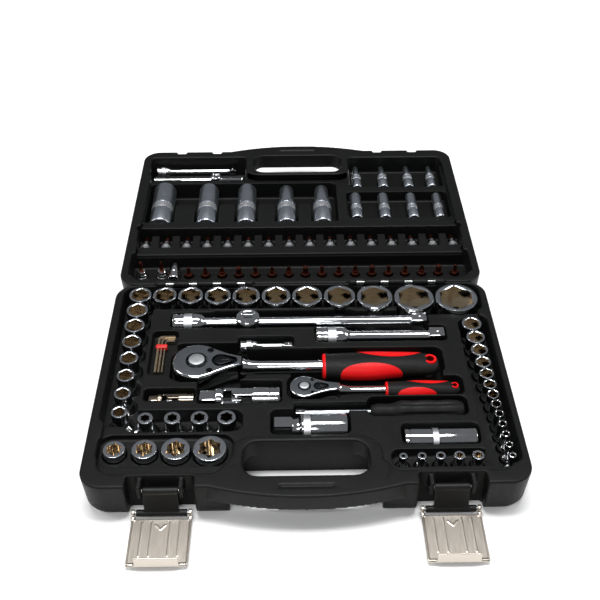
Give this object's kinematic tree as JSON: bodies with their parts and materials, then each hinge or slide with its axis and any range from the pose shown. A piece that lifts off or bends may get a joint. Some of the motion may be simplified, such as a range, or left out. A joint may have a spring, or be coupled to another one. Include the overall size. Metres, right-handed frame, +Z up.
{
  "type": "socket wrench set in case",
  "caption": "Half-inch and quarter-inch drive socket wrench set with ratchets, bars, joints and bits in a hinged moulded carry case with steel latches.",
  "frame": {"origin": "centre of the base half's flat underside, on the surface that the open case lies on", "axes": "+Z up; +X along the hinge; +Y from the base half towards the opened lid half"},
  "size_m": [0.38, 0.5954, 0.043],
  "materials": {
    "case_plastic": "blow-moulded black polyethylene, fine matt grain",
    "steel": "bright drawn steel",
    "link_plastic": "injection-moulded black nylon, satin",
    "spring_steel": "nickel-plated sheet steel, faint warm tone",
    "satin_chrome": "satin chrome plate",
    "grip_black": "black over-moulded rubber, satin",
    "grip_red": "red over-moulded rubber, satin",
    "chrome": "polished chrome plate",
    "dark_steel": "blackened steel",
    "joint_steel": "warm-toned plated steel",
    "insert_rubber": "black rubber sleeve",
    "key_steel": "warm-toned bare steel",
    "bit_steel": "dark red-brown coated tool steel"
  },
  "bodies": {
    "case_base": {"base_shell": "case_plastic", "hinge_pins": "steel", "latch_case_pins": "steel"},
    "case_lid": {"lid_shell": "case_plastic"},
    "link_left": {"latch_link_left": "link_plastic"},
    "link_right": {"latch_link_right": "link_plastic"},
    "latch_left": {"latch_plate_left": "spring_steel", "latch_plate_pin_left": "steel"},
    "latch_right": {"latch_plate_right": "spring_steel", "latch_plate_pin_right": "steel"},
    "ratchet_half": {"ratchet_half_head": "satin_chrome", "ratchet_half_grip": "grip_black", "ratchet_half_inlays": "grip_red", "ratchet_half_screws": "dark_steel"},
    "ratchet_half_gear": {"ratchet_half_drive": "steel"},
    "ratchet_half_release": {"ratchet_half_button": "chrome"},
    "ratchet_half_reverser": {"ratchet_half_lever": "dark_steel", "ratchet_half_pawl": "steel"},
    "ratchet_quarter": {"ratchet_quarter_head": "satin_chrome", "ratchet_quarter_grip": "grip_black", "ratchet_quarter_inlays": "grip_red", "ratchet_quarter_screws": "dark_steel"},
    "ratchet_quarter_gear": {"ratchet_quarter_drive": "steel"},
    "ratchet_quarter_release": {"ratchet_quarter_button": "chrome"},
    "ratchet_quarter_reverser": {"ratchet_quarter_lever": "dark_steel", "ratchet_quarter_pawl": "steel"},
    "long_extension": {"extension_250": "chrome"},
    "t_head_half": {"sliding_t_head": "chrome"},
    "short_extension": {"extension_125": "chrome"},
    "mini_extension": {"extension_50": "chrome"},
    "spinner": {"spinner_shank": "chrome", "spinner_grip": "grip_black"},
    "joint_half": {"joint_half_fork": "chrome"},
    "joint_half_spider": {"joint_half_cross": "steel"},
    "joint_half_end": {"joint_half_socket": "chrome"},
    "joint_quarter": {"joint_quarter_fork": "joint_steel"},
    "joint_quarter_spider": {"joint_quarter_cross": "steel"},
    "joint_quarter_end": {"joint_quarter_socket": "joint_steel"},
    "plug_sockets": {"spark_plug_socket_21": "chrome", "spark_plug_socket_16": "chrome", "spark_plug_rubbers": "insert_rubber"},
    "keys": {"hex_keys": "key_steel", "hex_key_clip": "grip_red"},
    "back_row": {"sockets_back_row": "chrome"},
    "side_row": {"sockets_side_row": "chrome"},
    "tall_stars": {"star_sockets_tall": "chrome"},
    "low_stars": {"star_sockets_low": "chrome"},
    "quarter_row": {"sockets_quarter": "chrome"},
    "quarter_stars": {"star_sockets_quarter": "chrome"},
    "quarter_extension": {"extension_100": "chrome"},
    "t_bar": {"t_bar_quarter": "chrome"},
    "t_bar_head": {"t_head_quarter": "chrome"},
    "deep_half_row": {"deep_sockets_half": "satin_chrome"},
    "deep_near_row": {"deep_sockets_quarter_near": "satin_chrome"},
    "deep_far_row": {"deep_sockets_quarter_far": "satin_chrome"},
    "bit_socket_row": {"bit_sockets": "chrome", "bit_socket_tips": "bit_steel"},
    "loose_bits": {"bits_8mm": "bit_steel"},
    "adaptor": {"bit_adaptor": "chrome"}
  },
  "joints": [
    {"name": "lid_hinge", "type": "hinge", "parent": "case_base", "child": "case_lid", "pos_m": [0, 0.133, 0.04], "axis": [-1, 0, 0], "range_deg": [-180, 0]},
    {"name": "link_left_swing", "type": "hinge", "parent": "case_base", "child": "link_left", "pos_m": [-0.122, -0.127, 0.028], "axis": [1, 0, 0], "range_deg": [-8, 0]},
    {"name": "latch_left_swing", "type": "hinge", "parent": "link_left", "child": "latch_left", "pos_m": [-0.122, -0.1335, 0.007], "axis": [1, 0, 0], "range_deg": [-82, 0]},
    {"name": "link_right_swing", "type": "hinge", "parent": "case_base", "child": "link_right", "pos_m": [0.122, -0.127, 0.028], "axis": [1, 0, 0], "range_deg": [-8, 0]},
    {"name": "latch_right_swing", "type": "hinge", "parent": "link_right", "child": "latch_right", "pos_m": [0.122, -0.1335, 0.007], "axis": [1, 0, 0], "range_deg": [-82, 0]},
    {"name": "ratchet_half_lift", "type": "slide", "parent": "case_base", "child": "ratchet_half", "axis": [0, 0, 1], "range_m": [0, 0.05]},
    {"name": "ratchet_quarter_lift", "type": "slide", "parent": "case_base", "child": "ratchet_quarter", "axis": [0, 0, 1], "range_m": [0, 0.05]},
    {"name": "long_extension_lift", "type": "slide", "parent": "case_base", "child": "long_extension", "axis": [0, 0, 1], "range_m": [0, 0.05]},
    {"name": "short_extension_lift", "type": "slide", "parent": "case_base", "child": "short_extension", "axis": [0, 0, 1], "range_m": [0, 0.05]},
    {"name": "mini_extension_lift", "type": "slide", "parent": "case_base", "child": "mini_extension", "axis": [0, 0, 1], "range_m": [0, 0.05]},
    {"name": "spinner_lift", "type": "slide", "parent": "case_base", "child": "spinner", "axis": [0, 0, 1], "range_m": [0, 0.05]},
    {"name": "joint_half_lift", "type": "slide", "parent": "case_base", "child": "joint_half", "axis": [0, 0, 1], "range_m": [0, 0.05]},
    {"name": "joint_quarter_lift", "type": "slide", "parent": "case_base", "child": "joint_quarter", "axis": [0, 0, 1], "range_m": [0, 0.05]},
    {"name": "plug_sockets_lift", "type": "slide", "parent": "case_base", "child": "plug_sockets", "axis": [0, 0, 1], "range_m": [0, 0.05]},
    {"name": "keys_lift", "type": "slide", "parent": "case_base", "child": "keys", "axis": [0, 0, 1], "range_m": [0, 0.05]},
    {"name": "back_row_lift", "type": "slide", "parent": "case_base", "child": "back_row", "axis": [0, 0, 1], "range_m": [0, 0.05]},
    {"name": "side_row_lift", "type": "slide", "parent": "case_base", "child": "side_row", "axis": [0, 0, 1], "range_m": [0, 0.05]},
    {"name": "tall_stars_lift", "type": "slide", "parent": "case_base", "child": "tall_stars", "axis": [0, 0, 1], "range_m": [0, 0.05]},
    {"name": "low_stars_lift", "type": "slide", "parent": "case_base", "child": "low_stars", "axis": [0, 0, 1], "range_m": [0, 0.05]},
    {"name": "quarter_row_lift", "type": "slide", "parent": "case_base", "child": "quarter_row", "axis": [0, 0, 1], "range_m": [0, 0.05]},
    {"name": "quarter_stars_lift", "type": "slide", "parent": "case_base", "child": "quarter_stars", "axis": [0, 0, 1], "range_m": [0, 0.05]},
    {"name": "quarter_extension_lift", "type": "slide", "parent": "case_lid", "child": "quarter_extension", "axis": [0, 0, 1], "range_m": [0, 0.05]},
    {"name": "t_bar_lift", "type": "slide", "parent": "case_lid", "child": "t_bar", "axis": [0, 0, 1], "range_m": [0, 0.05]},
    {"name": "deep_half_row_lift", "type": "slide", "parent": "case_lid", "child": "deep_half_row", "axis": [0, 0, 1], "range_m": [0, 0.05]},
    {"name": "deep_near_row_lift", "type": "slide", "parent": "case_lid", "child": "deep_near_row", "axis": [0, 0, 1], "range_m": [0, 0.05]},
    {"name": "deep_far_row_lift", "type": "slide", "parent": "case_lid", "child": "deep_far_row", "axis": [0, 0, 1], "range_m": [0, 0.05]},
    {"name": "bit_socket_row_lift", "type": "slide", "parent": "case_lid", "child": "bit_socket_row", "axis": [0, 0, 1], "range_m": [0, 0.05]},
    {"name": "loose_bits_lift", "type": "slide", "parent": "case_lid", "child": "loose_bits", "axis": [0, 0, 1], "range_m": [0, 0.05]},
    {"name": "adaptor_lift", "type": "slide", "parent": "case_lid", "child": "adaptor", "axis": [0, 0, 1], "range_m": [0, 0.05]},
    {"name": "ratchet_half_spin", "type": "hinge", "parent": "ratchet_half", "child": "ratchet_half_gear", "pos_m": [-0.101, 0.021, 0.037], "axis": [0, 0, 1], "continuous": true},
    {"name": "ratchet_half_press", "type": "slide", "parent": "ratchet_half", "child": "ratchet_half_release", "axis": [0, 0, 1], "range_m": [-0.002, 0], "stiffness_N_per_m": 400, "springref_m": 0.001},
    {"name": "ratchet_half_reverse", "type": "hinge", "parent": "ratchet_half", "child": "ratchet_half_reverser", "pos_m": [-0.07846, 0.021, 0.037], "axis": [0, 0, 1], "range_deg": [-14, 14]},
    {"name": "ratchet_quarter_spin", "type": "hinge", "parent": "ratchet_quarter", "child": "ratchet_quarter_gear", "pos_m": [0.0005, -0.014, 0.036], "axis": [0, 0, 1], "continuous": true},
    {"name": "ratchet_quarter_press", "type": "slide", "parent": "ratchet_quarter", "child": "ratchet_quarter_release", "axis": [0, 0, 1], "range_m": [-0.0015, 0], "stiffness_N_per_m": 400, "springref_m": 0.001},
    {"name": "ratchet_quarter_reverse", "type": "hinge", "parent": "ratchet_quarter", "child": "ratchet_quarter_reverser", "pos_m": [0.01373, -0.014, 0.036], "axis": [0, 0, 1], "range_deg": [-14, 14]},
    {"name": "t_head_half_slide", "type": "slide", "parent": "long_extension", "child": "t_head_half", "axis": [1, 0, 0], "range_m": [-0.02, 0.09]},
    {"name": "t_bar_head_slide", "type": "slide", "parent": "t_bar", "child": "t_bar_head", "axis": [1, 0, 0], "range_m": [-0.062, 0.02]},
    {"name": "joint_half_pitch", "type": "hinge", "parent": "joint_half", "child": "joint_half_spider", "pos_m": [-0.062, -0.0195, 0.025], "axis": [0, -1, 0], "range_deg": [0, 60]},
    {"name": "joint_half_yaw", "type": "hinge", "parent": "joint_half_spider", "child": "joint_half_end", "pos_m": [-0.062, -0.0195, 0.025], "axis": [0, 0, 1], "range_deg": [-2, 2]},
    {"name": "joint_quarter_pitch", "type": "hinge", "parent": "joint_quarter", "child": "joint_quarter_spider", "pos_m": [-0.1234, -0.0215, 0.027], "axis": [0, -1, 0], "range_deg": [0, 60]},
    {"name": "joint_quarter_yaw", "type": "hinge", "parent": "joint_quarter_spider", "child": "joint_quarter_end", "pos_m": [-0.1234, -0.0215, 0.027], "axis": [0, 0, 1], "range_deg": [-2, 2]}
  ]
}
